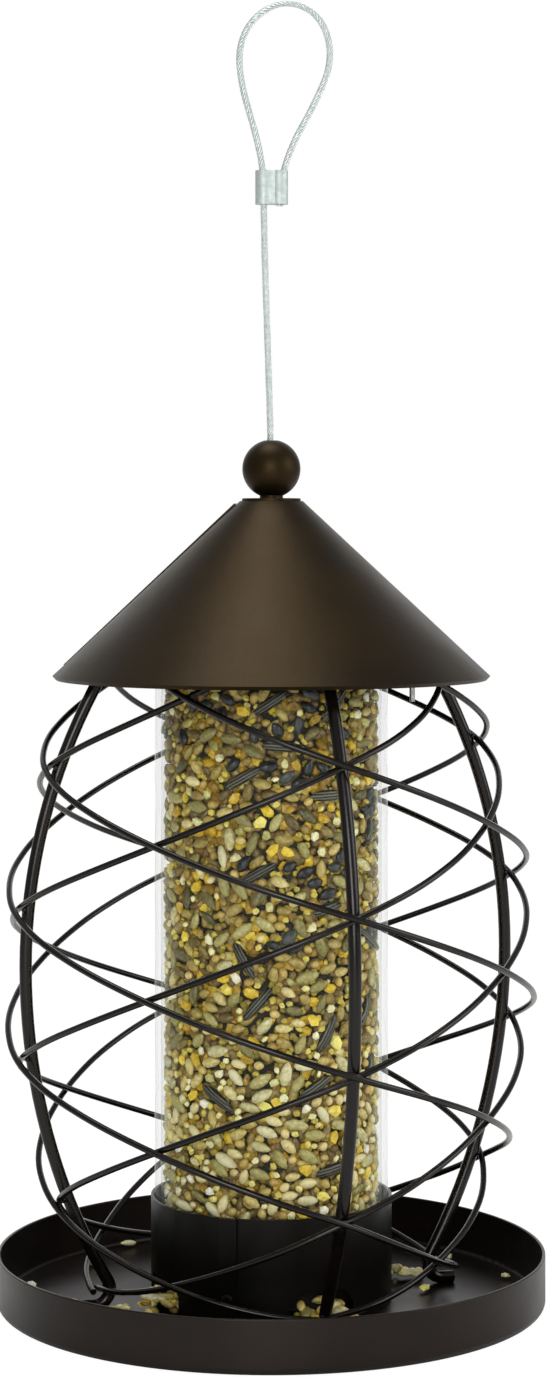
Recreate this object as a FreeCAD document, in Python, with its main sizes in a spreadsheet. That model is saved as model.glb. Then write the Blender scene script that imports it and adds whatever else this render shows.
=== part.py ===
"""Hanging seed feeder: a clear seed tube in a wire cage on a round tray, under a conical roof that
slides up the hanging cable. Millimetres; +Z up; origin at the centre of the tray's underside."""

import FreeCAD
import Part
import math
import os

import Sketcher
from FreeCAD import Placement, Rotation, Vector

# Every size that can be set by itself. Each one is a cell of the document's "sizes" sheet.
SIZES = {
    # tray: a pressed round pan
    "tray_dia": 178.0,
    "tray_height": 17.0,
    "tray_sheet": 1.0,
    "tray_corner": 2.2,
    # seed tube and the cup that holds its lower end
    "tube_dia": 76.0,
    "tube_wall": 2.0,
    "tube_length": 211.0,
    "seat_height": 13.0,
    "seat_sheet": 1.2,
    "seat_fit": 0.1,
    "cup_fit": 0.2,
    "cup_sheet": 1.0,
    "cup_height": 34.0,
    "port_width": 22.0,
    "port_height": 10.5,
    "port_lead": 7.0,
    "lap_width": 6.0,
    "rivet_dia": 2.0,
    "rivet_head_dia": 3.8,
    "rivet_head": 0.8,
    "rivet_height": 9.5,
    # cone on the tray floor that sends seed to the ports, and the seed itself
    "deflector_margin": 4.2,
    "deflector_rise": 15.0,
    "deflector_brim": 2.7,
    "deflector_sheet": 0.8,
    "seed_gap": 0.3,
    "seed_headroom": 23.0,
    "seed_heap": 5.0,
    # cage ribs and their top ring
    "rib_rod": 4.0,
    "rib_turn": 18.0,
    "cage_dia": 164.0,
    "cage_middle": 112.0,
    "rib_bend": 5.0,
    "rib_toe_dia": 101.0,
    "foot_length": 4.0,
    "ring_wire": 4.0,
    "ring_rise": 1.1,
    # wires wound round the cage: the height of each crossing, from the top down
    "weave_wire": 2.0,
    "weave_gap": 0.24,
    "weave_flat": 3.8,
    "weave_start": 5.1,
    "weave_level_a": 179.5,
    "weave_level_b": 134.5,
    "weave_level_c": 87.0,
    "weave_level_d": 41.0,
    "weave_foot": 7.4,
    "weave_dip": 6.3,
    "weave_tail": 3.0,
    "lift_right": 2.5,
    "lift_left": -3.5,
    # roof
    "roof_dia": 142.4,
    "roof_slope": 43.0,
    "roof_sheet": 0.8,
    "roof_hem": 3.0,
    "roof_top_dia": 20.6,
    "mouth_clear": 3.0,
    "roof_play": 0.3,
    "roof_lap": 6.0,
    "roof_turn": -8.0,
    "disc_margin": 1.4,
    "disc_sheet": 0.9,
    # ball and the sleeve that carries the roof on it
    "ball_dia": 19.0,
    "cable_play": 2.2,
    "sleeve_wall": 1.0,
    "flange_lip": 2.6,
    "flange_height": 1.0,
    "neck_lip": 1.2,
    "neck_height": 0.8,
    "spigot": 5.0,
    "spin_play": 0.08,
    "end_play": 0.1,
    # bail under the roof, the cable and its two crimps
    "bail_wire": 1.8,
    "bail_clear": 0.6,
    "bail_gap": 0.2,
    "bail_rise": 14.0,
    "bail_shoulder": 3.5,
    "bail_bend": 4.0,
    "tail_right": 31.0,
    "tail_left": 12.0,
    "eye_lip": 4.6,
    "eye_play": 1.2,
    "eye_height": 2.8,
    "cable_dia": 2.2,
    "crimp_fit": 0.05,
    "stop_wall": 1.85,
    "stop_length": 8.0,
    "stop_gap": 0.1,
    "barrel_wall": 1.6,
    "ferrule_length": 11.0,
    "ferrule_lip": 0.5,
}

# The cable's route above the roof: how far right of its hole, and how far above the top disc.
CABLE_ROUTE = [
    (0.0, 15.1),
    (-1.4, 55.0),
    (-2.5, 91.0),
    (-2.5, 110.4),
    (-11.2, 138.7),
    (-9.3, 153.0),
    (0.4, 161.4),
    (9.6, 161.4),
    (17.1, 155.4),
    (19.9, 143.9),
    (16.0, 131.9),
    (2.7, 107.9),
    (2.7, 95.3),
]
RIBS = ("front", "right", "rear", "left")
LEVELS = ("top", "level_a", "level_b", "level_c", "level_d", "bottom")
PANEL = 90.0
PANEL_STEPS = 6
RUN_SHARE = 0.45


class Size:
    """A length that keeps both its number and the expression that gives it in the document."""

    def __init__(self, value, text=None):
        self.value = float(value)
        self.text = text or repr(float(value))

    def joined(self, other, sign, value):
        return Size(value, f"({self.text} {sign} {other.text})")

    def __add__(self, other):
        other = as_size(other)
        return self.joined(other, "+", self.value + other.value)

    def __sub__(self, other):
        other = as_size(other)
        return self.joined(other, "-", self.value - other.value)

    def __mul__(self, other):
        other = as_size(other)
        return self.joined(other, "*", self.value * other.value)

    def __truediv__(self, other):
        other = as_size(other)
        return self.joined(other, "/", self.value / other.value)

    def __neg__(self):
        return self * -1


def as_size(number):
    return number if isinstance(number, Size) else Size(number)


def sine(angle):
    return Size(math.sin(math.radians(angle.value)), f"sin({angle.text} * 1 deg)")


def cosine(angle):
    return Size(math.cos(math.radians(angle.value)), f"cos({angle.text} * 1 deg)")


def root(number):
    return Size(math.sqrt(number.value), f"sqrt({number.text})")


def size_sheet(doc):
    """Writes the sizes into a spreadsheet and returns them by name, with those that follow from them."""
    sheet = doc.addObject("Spreadsheet::Sheet", "sizes")
    for row, (name, number) in enumerate(SIZES.items(), start=1):
        sheet.set(f"A{row}", name)
        sheet.set(f"B{row}", str(number))
        sheet.setAlias(f"B{row}", name)
    doc.recompute()
    s = {name: Size(float(sheet.get(name)), f"sizes.{name}") for name in SIZES}
    tube_top = s["tray_sheet"] + s["seat_height"] + s["tube_length"]
    bail_room = (s["bail_clear"] + s["bail_wire"] + s["bail_gap"]) * 2
    s["ring_dia"] = s["tube_dia"] + bail_room + s["ring_wire"]
    s["ring_height"] = tube_top + s["ring_rise"]
    s["weave_top"] = s["ring_height"] - s["weave_start"]
    s["weave_bottom"] = s["tray_sheet"] + s["weave_foot"]
    s["seed_depth"] = s["tube_length"] - s["seed_headroom"]
    s["deflector_dia"] = s["tube_dia"] + (s["cup_fit"] - s["deflector_margin"]) * 2
    s["disc_dia"] = s["roof_top_dia"] - s["disc_margin"]
    s["cable_hole"] = s["cable_dia"] + s["cable_play"]
    s["sleeve_dia"] = s["cable_hole"] + s["sleeve_wall"] * 2
    s["flange_dia"] = s["sleeve_dia"] + s["flange_lip"]
    s["roof_mouth_dia"] = s["flange_dia"] + s["mouth_clear"]
    s["neck_dia"] = s["sleeve_dia"] + s["neck_lip"]
    s["eye_hole"] = s["cable_dia"] + s["eye_play"]
    s["eye_dia"] = s["eye_hole"] + s["eye_lip"]
    s["crimp_bore"] = s["cable_dia"] + s["crimp_fit"] * 2
    s["stop_dia"] = s["crimp_bore"] + s["stop_wall"] * 2
    s["barrel_dia"] = s["crimp_bore"] + s["barrel_wall"] * 2
    return s


def new_body(doc, label):
    body = doc.addObject("PartDesign::Body", label)
    body.Label = label
    return body


def new_sketch(body, role, name, offset=None, turn=0.0):
    """An empty sketch on one of the body's origin planes, lifted off it or turned about its up axis."""
    sketch = body.newObject("Sketcher::SketchObject", name)
    plane = next(f for f in body.Origin.OriginFeatures if f.Role == role)
    sketch.AttachmentSupport = (plane, [""])
    sketch.MapMode = "FlatFace"
    lift = offset.value if offset is not None else 0.0
    sketch.AttachmentOffset = Placement(Vector(0, 0, lift), Rotation(Vector(0, 1, 0), turn))
    if offset is not None:
        sketch.setExpression("AttachmentOffset.Base.z", offset.text)
    return sketch


def bind(sketch, constraint, size):
    """Adds a constraint whose value follows the sheet."""
    index = sketch.addConstraint(constraint)
    sketch.setExpression(f"Constraints[{index}]", size.text)


def pin_across(sketch, geo, end, across):
    if across.value == 0:
        sketch.addConstraint(Sketcher.Constraint("PointOnObject", geo, end, -2))
    else:
        bind(sketch, Sketcher.Constraint("DistanceX", -1, 1, geo, end, across.value), across)


def pin_up(sketch, geo, end, up):
    if up.value == 0:
        sketch.addConstraint(Sketcher.Constraint("PointOnObject", geo, end, -1))
    else:
        bind(sketch, Sketcher.Constraint("DistanceY", -1, 1, geo, end, up.value), up)


def draw_outline(sketch, corners):
    """A closed outline of straight lines through the corners, each an (across, up) pair."""
    corners = [(as_size(across), as_size(up)) for across, up in corners]
    spots = [Vector(across.value, up.value, 0) for across, up in corners]
    for start, end in zip(spots, spots[1:] + spots[:1]):
        sketch.addGeometry(Part.LineSegment(start, end), False)
    count = len(corners)
    for line in range(count):
        sketch.addConstraint(Sketcher.Constraint("Coincident", line, 2, (line + 1) % count, 1))
    for line, (across, up) in enumerate(corners):
        pin_across(sketch, line, 1, across)
        pin_up(sketch, line, 1, up)


def draw_circle(sketch, across, up, radius):
    circle = Part.Circle(Vector(across.value, up.value, 0), Vector(0, 0, 1), radius.value)
    geo = sketch.addGeometry(circle, False)
    bind(sketch, Sketcher.Constraint("Radius", geo, radius.value), radius)
    pin_across(sketch, geo, 3, across)
    pin_up(sketch, geo, 3, up)


def draw_arc(sketch, centre, radius, start, end):
    """An arc that runs anticlockwise from start to end; each end is fixed by its own height."""
    middle = Vector(centre[0].value, centre[1].value, 0)
    spots = [Vector(point[0].value, point[1].value, 0) - middle for point in (start, end)]
    angles = [math.atan2(spot.y, spot.x) for spot in spots]
    circle = Part.Circle(middle, Vector(0, 0, 1), radius.value)
    geo = sketch.addGeometry(Part.ArcOfCircle(circle, angles[0], angles[1]), False)
    bind(sketch, Sketcher.Constraint("Radius", geo, radius.value), radius)
    pin_across(sketch, geo, 3, centre[0])
    pin_up(sketch, geo, 3, centre[1])
    return geo


def turned(doc, label, corners):
    """A body turned about the Z axis from an outline drawn on its XZ plane."""
    body = new_body(doc, label)
    sketch = new_sketch(body, "XZ_Plane", label + "_outline")
    draw_outline(sketch, corners)
    feature = body.newObject("PartDesign::Revolution", label + "_turned")
    feature.Profile = sketch
    feature.ReferenceAxis = (sketch, ["V_Axis"])
    feature.Angle = 360
    doc.recompute()
    return body


def soften(doc, body, name, radius, spots):
    """Rounds the circular edges of the body's tip that have the given (radius, height) pairs."""
    names = []
    for number, edge in enumerate(body.Tip.Shape.Edges, start=1):
        if isinstance(edge.Curve, Part.Circle):
            for across, up in spots:
                near_radius = abs(edge.Curve.Radius - across.value) < 1e-3
                if near_radius and abs(edge.CenterOfMass.z - up.value) < 1e-3:
                    names.append(f"Edge{number}")
    base = body.Tip
    fillet = body.newObject("PartDesign::Fillet", name)
    fillet.Base = (base, names)
    fillet.Radius = radius.value
    fillet.setExpression("Radius", radius.text)
    doc.recompute()


def cut(doc, body, name, sketch, length=None):
    """Cuts a sketch right through the body, or to a length on the side that the sketch faces."""
    before = body.Tip.Shape.Volume
    pocket = body.newObject("PartDesign::Pocket", name)
    pocket.Profile = sketch
    pocket.Reversed = length is not None
    if length is None:
        pocket.Type = "ThroughAll"
        pocket.Midplane = True
    else:
        pocket.Length = length.value
        pocket.setExpression("Length", length.text)
    doc.recompute()
    if before - pocket.Shape.Volume < 0.01:
        raise RuntimeError(name + " cuts nothing")
    return pocket


def around(doc, body, name, feature, count, angle):
    """Repeats a feature about the Z axis."""
    pattern = body.newObject("PartDesign::PolarPattern", name)
    pattern.Originals = [feature]
    axis = next(f for f in body.Origin.OriginFeatures if f.Role == "Z_Axis")
    pattern.Axis = (axis, [""])
    pattern.Angle = angle
    pattern.Occurrences = count
    body.Tip = pattern
    doc.recompute()


def place(obj, turn=0.0, spot=None):
    obj.Placement = Placement(spot or Vector(0, 0, 0), Rotation(Vector(0, 0, 1), turn))
    return obj


def cylinder(doc, label, radius, height, across, up):
    """A Part cylinder standing at (across, 0, up)."""
    obj = doc.addObject("Part::Cylinder", label)
    obj.Label = label
    obj.setExpression("Radius", radius.text)
    obj.setExpression("Height", height.text)
    obj.setExpression("Placement.Base.x", across.text)
    obj.setExpression("Placement.Base.z", up.text)
    return obj


def fused(doc, label, pieces):
    obj = doc.addObject("Part::MultiFuse", label)
    obj.Label = label
    obj.Shapes = pieces
    return obj


def drilled(doc, label, base, holes):
    """The base with each hole cut out of it in turn; the last cut takes the label."""
    for number, hole in enumerate(holes, start=1):
        name = label if number == len(holes) else f"{label}_cut_{number}"
        obj = doc.addObject("Part::Cut", name)
        obj.Label = name
        obj.Base = base
        obj.Tool = hole
        base = obj
    return base


def rounded_path(points, radii=None):
    """Straight runs through the points, joined by arcs tangent to both runs.

    Each arc is as large as its two runs allow, unless radii gives it a size of its own.
    """
    edges = []
    used = []
    start = points[0]
    for number in range(1, len(points) - 1):
        corner = points[number]
        back = points[number - 1] - corner
        ahead = points[number + 1] - corner
        half = (math.pi - back.getAngle(ahead)) / 2
        reach = RUN_SHARE * min(back.Length, ahead.Length)
        if radii is not None:
            reach = radii[number - 1] * math.tan(half)
        radius = reach / math.tan(half)
        back.normalize()
        ahead.normalize()
        inward = back + ahead
        inward.normalize()
        first = corner + back * reach
        last = corner + ahead * reach
        middle = corner + inward * (radius / math.cos(half) - radius)
        edges.append(Part.LineSegment(start, first).toShape())
        edges.append(Part.Arc(first, middle, last).toShape())
        used.append(radius)
        start = last
    edges.append(Part.LineSegment(start, points[-1]).toShape())
    return Part.Wire(edges), used


def swept(doc, label, wire, radius):
    """A round wire or cable of the given radius along a path."""
    path = doc.addObject("Part::Feature", label + "_path")
    path.Shape = wire
    first = wire.OrderedVertexes[0].Point
    ahead = wire.OrderedVertexes[1].Point - first
    section = doc.addObject("Part::Circle", label + "_section")
    section.setExpression("Radius", radius.text)
    section.Placement = Placement(first, Rotation(Vector(0, 0, 1), ahead))
    sweep = doc.addObject("Part::Sweep", label)
    sweep.Label = label
    sweep.Sections = [section]
    sweep.Spine = (path, [f"Edge{number}" for number in range(1, len(wire.Edges) + 1)])
    sweep.Solid = True
    sweep.Frenet = False
    doc.recompute()
    length = wire.Length
    share = sweep.Shape.Volume / (math.pi * radius.value**2 * length)
    print(f"{label}: length {length:.1f}, volume over section times length {share:.4f}")
    return sweep


# ---- tray, cup and tube ----


def make_tray(doc, s):
    radius = s["tray_dia"] / 2
    inside = radius - s["tray_sheet"]
    high = s["tray_height"]
    thick = s["tray_sheet"]
    corners = [(0, 0), (radius, 0), (radius, high), (inside, high), (inside, thick), (0, thick)]
    body = turned(doc, "tray_pan", corners)
    soften(doc, body, "outer_corner", s["tray_corner"], [(radius, Size(0))])
    soften(doc, body, "inner_corner", s["tray_corner"] - s["tray_sheet"], [(inside, thick)])
    soften(doc, body, "rim_edges", s["tray_sheet"] * 0.4, [(radius, high), (inside, high)])
    return body


def cup_inside(s):
    return s["tube_dia"] / 2 + s["cup_fit"]


def cup_turn(s):
    """The ports lie a little past the ribs."""
    return s["rib_turn"].value + s["port_lead"].value


def make_cup(doc, s):
    inside = cup_inside(s)
    outside = inside + s["cup_sheet"]
    low = s["tray_sheet"]
    high = low + s["cup_height"]
    body = turned(doc, "tube_cup", [(inside, low), (outside, low), (outside, high), (inside, high)])

    # lap seam midway between two ports
    seam = new_sketch(body, "XY_Plane", "lap_outline", low)
    over = outside + s["cup_sheet"]
    diagonal = math.sqrt(0.5)
    half = s["lap_width"] / 2
    corners = []
    for reach, side in ((over, half), (over, -half), (outside - 0.4, -half), (outside - 0.4, half)):
        corners.append(((side - reach) * diagonal, (-side - reach) * diagonal))
    draw_outline(seam, corners)
    pad = body.newObject("PartDesign::Pad", "lap_seam")
    pad.Profile = seam
    pad.Length = s["cup_height"].value
    pad.setExpression("Length", s["cup_height"].text)
    doc.recompute()

    # one cut goes through both walls, and a quarter turn makes the other two ports
    port = new_sketch(body, "XZ_Plane", "port_outline")
    wide = s["port_width"] / 2
    knee = low + s["port_height"] * 0.6
    crown = low + s["port_height"]
    narrow = wide - s["port_height"] * 0.3
    sill = low - 1
    corners = [(-wide, sill), (wide, sill), (wide, knee), (narrow, crown), (-narrow, crown), (-wide, knee)]
    draw_outline(port, corners)
    around(doc, body, "ports", cut(doc, body, "port", port), 2, 90)

    # hole for the rivet that closes the seam
    hole = new_sketch(body, "XZ_Plane", "rivet_hole_outline", turn=-PANEL / 2)
    draw_circle(hole, Size(0), s["rivet_height"], s["rivet_dia"] / 2)
    cut(doc, body, "rivet_hole", hole, over + 2)
    return place(body, cup_turn(s))


def make_rivet(doc, s):
    shank = s["rivet_dia"] / 2
    head = s["rivet_head_dia"] / 2
    grip = s["cup_sheet"] * 2 + 0.06
    rise = s["rivet_head"]
    corners = [
        (0, -rise),
        (head * 0.7, -rise),
        (head, -rise * 0.4),
        (head, 0),
        (shank, 0),
        (shank, grip),
        (head, grip),
        (head, grip + rise * 0.4),
        (head * 0.7, grip + rise),
        (0, grip + rise),
    ]
    body = turned(doc, "seam_rivet", corners)
    angle = cup_turn(s) - PANEL / 2
    outward = Rotation(Vector(0, 0, 1), angle).multVec(Vector(0, -1, 0))
    spot = outward * (cup_inside(s).value - 0.05)
    spot.z = s["rivet_height"].value
    body.Placement = Placement(spot, Rotation(Vector(0, 0, 1), outward))
    return body


def make_seat_ring(doc, s):
    inner = s["tube_dia"] / 2 - s["tube_wall"]
    outer = cup_inside(s) - s["seat_fit"]
    top = s["tray_sheet"] + s["seat_height"]
    low = top - s["seat_sheet"]
    return turned(doc, "tube_seat_ring", [(inner, low), (outer, low), (outer, top), (inner, top)])


def make_tube(doc, s):
    outer = s["tube_dia"] / 2
    inner = outer - s["tube_wall"]
    low = s["tray_sheet"] + s["seat_height"]
    high = low + s["tube_length"]
    return turned(doc, "seed_tube", [(inner, low), (outer, low), (outer, high), (inner, high)])


def make_deflector(doc, s):
    outer = s["deflector_dia"] / 2
    hip = outer - s["deflector_brim"]
    low = s["tray_sheet"]
    thick = s["deflector_sheet"]
    peak = low + s["deflector_rise"]
    corners = [(0, peak), (0, peak - thick * 1.1), (hip, low), (outer, low), (outer, low + thick)]
    return turned(doc, "seed_deflector", corners + [(hip + thick * 0.3, low + thick)])


def make_seed(doc, s):
    """The mixed seed in the tube, as one heap that stands on the deflector."""
    outer = s["tube_dia"] / 2 - s["tube_wall"] - s["seed_gap"]
    hip = s["deflector_dia"] / 2 - s["deflector_brim"] + s["deflector_sheet"] * 0.3
    low = s["tray_sheet"] + s["deflector_sheet"] + s["seed_gap"]
    peak = s["tray_sheet"] + s["deflector_rise"] + s["seed_gap"]
    top = s["tray_sheet"] + s["seat_height"] + s["seed_depth"]
    corners = [(0, peak), (hip, low), (outer, low), (outer, top), (0, top + s["seed_heap"])]
    return turned(doc, "seed_mix", corners)


# ---- cage ----


def rib_profile(s):
    """The two arcs of a rib, both upright at the cage's middle: (centre across, radius) of each."""
    wide = s["cage_dia"] / 2
    middle = s["cage_middle"]
    arcs = []
    ring = (s["ring_dia"] / 2, s["ring_height"])
    toe = (s["rib_toe_dia"] / 2, s["tray_sheet"] + s["rib_rod"] / 2)
    for across, up in (ring, toe):
        inset = wide - across
        drop = up - middle
        radius = (inset * inset + drop * drop) / (inset * 2)
        arcs.append((wide - radius, radius))
    return arcs


def rib_radius(s, height, off):
    """How far out a point at this height is, when it stands off the rib's centreline by off."""
    upper, lower = rib_profile(s)
    centre, radius = upper if height > s["cage_middle"].value else lower
    drop = height - s["cage_middle"].value
    return centre.value + math.sqrt((radius.value + off) ** 2 - drop**2)


def make_rib(doc, s, number):
    """A rod bent to two arcs, with its foot turned out along the tray floor."""
    label = "rib_" + RIBS[number]
    (high_centre, high_radius), (low_centre, low_radius) = rib_profile(s)
    middle = s["cage_middle"]
    floor = s["tray_sheet"] + s["rib_rod"] / 2
    bend = s["rib_bend"]
    rise = middle - floor - bend
    reach = low_radius + bend
    run = root(reach * reach - rise * rise)
    bend_centre = (low_centre + run, floor + bend)
    meet = (low_centre + run * low_radius / reach, middle - rise * low_radius / reach)
    waist = (s["cage_dia"] / 2, middle)
    ring_rise = s["ring_height"] - middle
    ring_run = s["ring_dia"] / 2 - high_centre
    stub = s["ring_wire"] / 2
    head_up = s["ring_height"] - stub * ring_run / high_radius
    head_across = high_centre + root(high_radius * high_radius - (head_up - middle) * (head_up - middle))
    toe_across = bend_centre[0] + s["foot_length"]

    body = new_body(doc, label)
    path = new_sketch(body, "XZ_Plane", label + "_path")
    line = Part.LineSegment(
        Vector(toe_across.value, floor.value, 0), Vector(bend_centre[0].value, floor.value, 0)
    )
    path.addGeometry(line, False)
    pin_across(path, 0, 1, toe_across)
    pin_up(path, 0, 1, floor)
    pin_across(path, 0, 2, bend_centre[0])
    pin_up(path, 0, 2, floor)
    # the arc of the foot runs from where it meets the rib round to the floor
    geo = draw_arc(path, bend_centre, bend, meet, (bend_centre[0], floor))
    pin_up(path, geo, 1, meet[1])
    pin_across(path, geo, 2, bend_centre[0])
    geo = draw_arc(path, (low_centre, middle), low_radius, meet, waist)
    pin_up(path, geo, 1, meet[1])
    pin_up(path, geo, 2, middle)
    geo = draw_arc(path, (high_centre, middle), high_radius, waist, (head_across, head_up))
    pin_up(path, geo, 1, middle)
    pin_up(path, geo, 2, head_up)

    section = new_sketch(body, "YZ_Plane", label + "_section", toe_across)
    draw_circle(section, Size(0), floor, s["rib_rod"] / 2)
    doc.recompute()
    rod = body.newObject("PartDesign::AdditivePipe", label + "_rod")
    rod.Profile = section
    rod.Spine = (path, [f"Edge{n}" for n in range(1, len(path.Shape.Edges) + 1)])
    doc.recompute()
    return place(body, rib_bearing(s, number) - PANEL)


def rib_bearing(s, number):
    """The rib's direction: degrees round from the front, towards the right."""
    return s["rib_turn"].value + PANEL * number


def make_ring(doc, s):
    ring = doc.addObject("Part::Torus", "cage_top_ring")
    ring.Label = "cage_top_ring"
    ring.setExpression("Radius1", (s["ring_dia"] / 2).text)
    ring.setExpression("Radius2", (s["ring_wire"] / 2).text)
    ring.setExpression("Placement.Base.z", s["ring_height"].text)
    return ring


def level_height(s, level, rib):
    """The height at which a wire crosses a rib; the left and right ribs differ a little."""
    lift = 0.0
    if 0 < level < len(LEVELS) - 1:
        lift = {"right": s["lift_right"].value, "left": s["lift_left"].value}.get(RIBS[rib], 0.0)
    return s["weave_" + LEVELS[level]].value + lift


def around_point(bearing, radius, height):
    angle = math.radians(bearing)
    return Vector(radius * math.sin(angle), -radius * math.cos(angle), height)


def make_weave(doc, s, hand, start):
    """A wire wound down the outside of the ribs, from beside one rib's head to a rib's foot.

    The wires of the left hand lie on the ribs, and those of the right hand lie on them.
    """
    side = 1 if hand == "right" else -1
    wire = s["weave_wire"].value
    off = s["rib_rod"].value / 2 + wire / 2 + s["weave_gap"].value
    if hand == "right":
        off += wire + s["weave_gap"].value
    step = math.radians(PANEL / PANEL_STEPS)
    swell = 1 + RUN_SHARE * 2 * math.sin(step / 2) * math.tan(step / 4)
    first = rib_bearing(s, start)
    last_panel = len(LEVELS) - 2
    points = []
    for panel in range(last_panel + 1):
        high = level_height(s, panel, (start + side * panel) % 4)
        low = level_height(s, panel + 1, (start + side * (panel + 1)) % 4)
        for count in range(PANEL_STEPS):
            share = count / PANEL_STEPS
            if panel == 0 and count == 0:
                # the end butts against the rib's flank
                share = math.degrees((s["rib_rod"].value / 2 + 0.3) / (s["ring_dia"].value / 2)) / PANEL
            height = high + (low - high) * share
            if panel == last_panel:
                height -= s["weave_dip"].value * 4 * share * (1 - share)
            stand = off
            if panel == 0 and share < 0.5:
                stand = off * math.sin(math.pi * share)
            radius = rib_radius(s, height, stand)
            radius -= s["weave_flat"].value * math.sin(math.pi * share) ** 2
            points.append(around_point(first + side * PANEL * (panel + share), radius * swell, height))
    height = level_height(s, len(LEVELS) - 1, 0)
    radius = rib_radius(s, height, off) * swell
    bearing = first + side * PANEL * (last_panel + 1)
    points.append(around_point(bearing, radius, height))
    ahead = points[-1] - points[-2]
    tail = side * math.degrees(s["weave_tail"].value / radius)
    points.append(around_point(bearing + tail, radius, height + ahead.z * abs(tail) * PANEL_STEPS / PANEL))
    path, radii = rounded_path(points)
    return swept(doc, f"weave_{hand}_{RIBS[start]}", path, s["weave_wire"] / 2)


# ---- roof, ball and sleeve ----


def roof_lines(s):
    """The roof's slope as (sine, cosine), and how far its inner and outer lines lie from the origin."""
    up = sine(s["roof_slope"])
    flat = cosine(s["roof_slope"])
    rest = s["ring_dia"] / 2 * up + s["ring_height"] * flat
    inner = rest + s["ring_wire"] / 2 + s["roof_play"]
    return up, flat, inner, inner + s["roof_sheet"]


def roof_top(s):
    up, flat, inner, outer = roof_lines(s)
    return (outer - s["roof_top_dia"] / 2 * up) / flat


def make_roof(doc, s):
    """A cone of sheet with a turned-in edge round its top opening and a hem round its eave."""
    up, flat, inner, outer = roof_lines(s)
    sheet = s["roof_sheet"]
    eave = s["roof_dia"] / 2
    eave_up = (outer - eave * up) / flat
    top = roof_top(s)
    rim = s["roof_top_dia"] / 2
    mouth = s["roof_mouth_dia"] / 2
    under = (inner - (top - sheet) * flat) / up
    hem = s["roof_hem"]
    corners = [
        (eave, eave_up),
        (rim, top),
        (mouth, top),
        (mouth, top - sheet),
        (under, top - sheet),
        (eave - sheet * up - hem * flat, eave_up - sheet * flat + hem * up),
        (eave - sheet * up * 2 - hem * flat, eave_up - sheet * flat * 2 + hem * up),
        (eave - sheet * up * 2, eave_up - sheet * flat * 2),
    ]
    body = turned(doc, "roof_cone", corners)

    lap = new_sketch(body, "XZ_Plane", "roof_lap_outline")
    corners = []
    for across, lift in ((eave - 3, -0.4), (rim + 1.2, -0.4), (rim + 1.2, 0.6), (eave - 3, 0.6)):
        along_up = (outer - across * up) / flat
        corners.append((-(across + sheet * up * lift), along_up + sheet * flat * lift))
    draw_outline(lap, corners)
    pad = body.newObject("PartDesign::Pad", "roof_lap_seam")
    pad.Profile = lap
    pad.Midplane = True
    pad.Length = s["roof_lap"].value
    pad.setExpression("Length", s["roof_lap"].text)
    doc.recompute()
    return place(body, s["roof_turn"].value)


def make_disc(doc, s):
    """The flat disc over the roof's top opening; it runs on the sleeve."""
    hole = s["sleeve_dia"] / 2 + s["spin_play"]
    outer = s["disc_dia"] / 2
    low = roof_top(s)
    high = low + s["disc_sheet"]
    body = turned(doc, "roof_top_disc", [(hole, low), (outer, low), (outer, high), (hole, high)])
    soften(doc, body, "disc_edge", s["disc_sheet"] * 0.35, [(outer, high)])
    return body


def neck_foot(s):
    return roof_top(s) + s["disc_sheet"] + s["end_play"]


def make_sleeve(doc, s):
    """The sleeve through the roof's top; its flange carries the roof when the ball is lifted."""
    bore = s["cable_hole"] / 2
    outer = s["sleeve_dia"] / 2
    flange = s["flange_dia"] / 2
    flange_top = roof_top(s) - s["end_play"]
    low = flange_top - s["flange_height"]
    high = neck_foot(s) + s["spigot"]
    corners = [(bore, low), (flange, low), (flange, flange_top), (outer, flange_top)]
    return turned(doc, "neck_sleeve", corners + [(outer, high), (bore, high)])


def ball_centre(s):
    neck = s["neck_dia"] / 2
    ball = s["ball_dia"] / 2
    return neck_foot(s) + s["neck_height"] + root(ball * ball - neck * neck)


def make_ball(doc, s):
    """The ball with a short neck, a socket for the sleeve and a bore for the cable."""
    ball = doc.addObject("Part::Sphere", "ball_round")
    ball.setExpression("Radius", (s["ball_dia"] / 2).text)
    ball.setExpression("Placement.Base.z", ball_centre(s).text)
    foot = neck_foot(s)
    neck_length = s["neck_height"] + 0.5
    neck = cylinder(doc, "ball_neck", s["neck_dia"] / 2, neck_length, Size(0), foot)
    whole = fused(doc, "ball_and_neck", [ball, neck])
    socket = cylinder(doc, "ball_socket", s["sleeve_dia"] / 2, s["spigot"] + 2, Size(0), foot - 2)
    bore = cylinder(doc, "ball_bore", s["cable_hole"] / 2, s["ball_dia"] * 2, Size(0), foot)
    return drilled(doc, "ball_finial", whole, [socket, bore])


# ---- bail, cable and crimps ----


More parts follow.
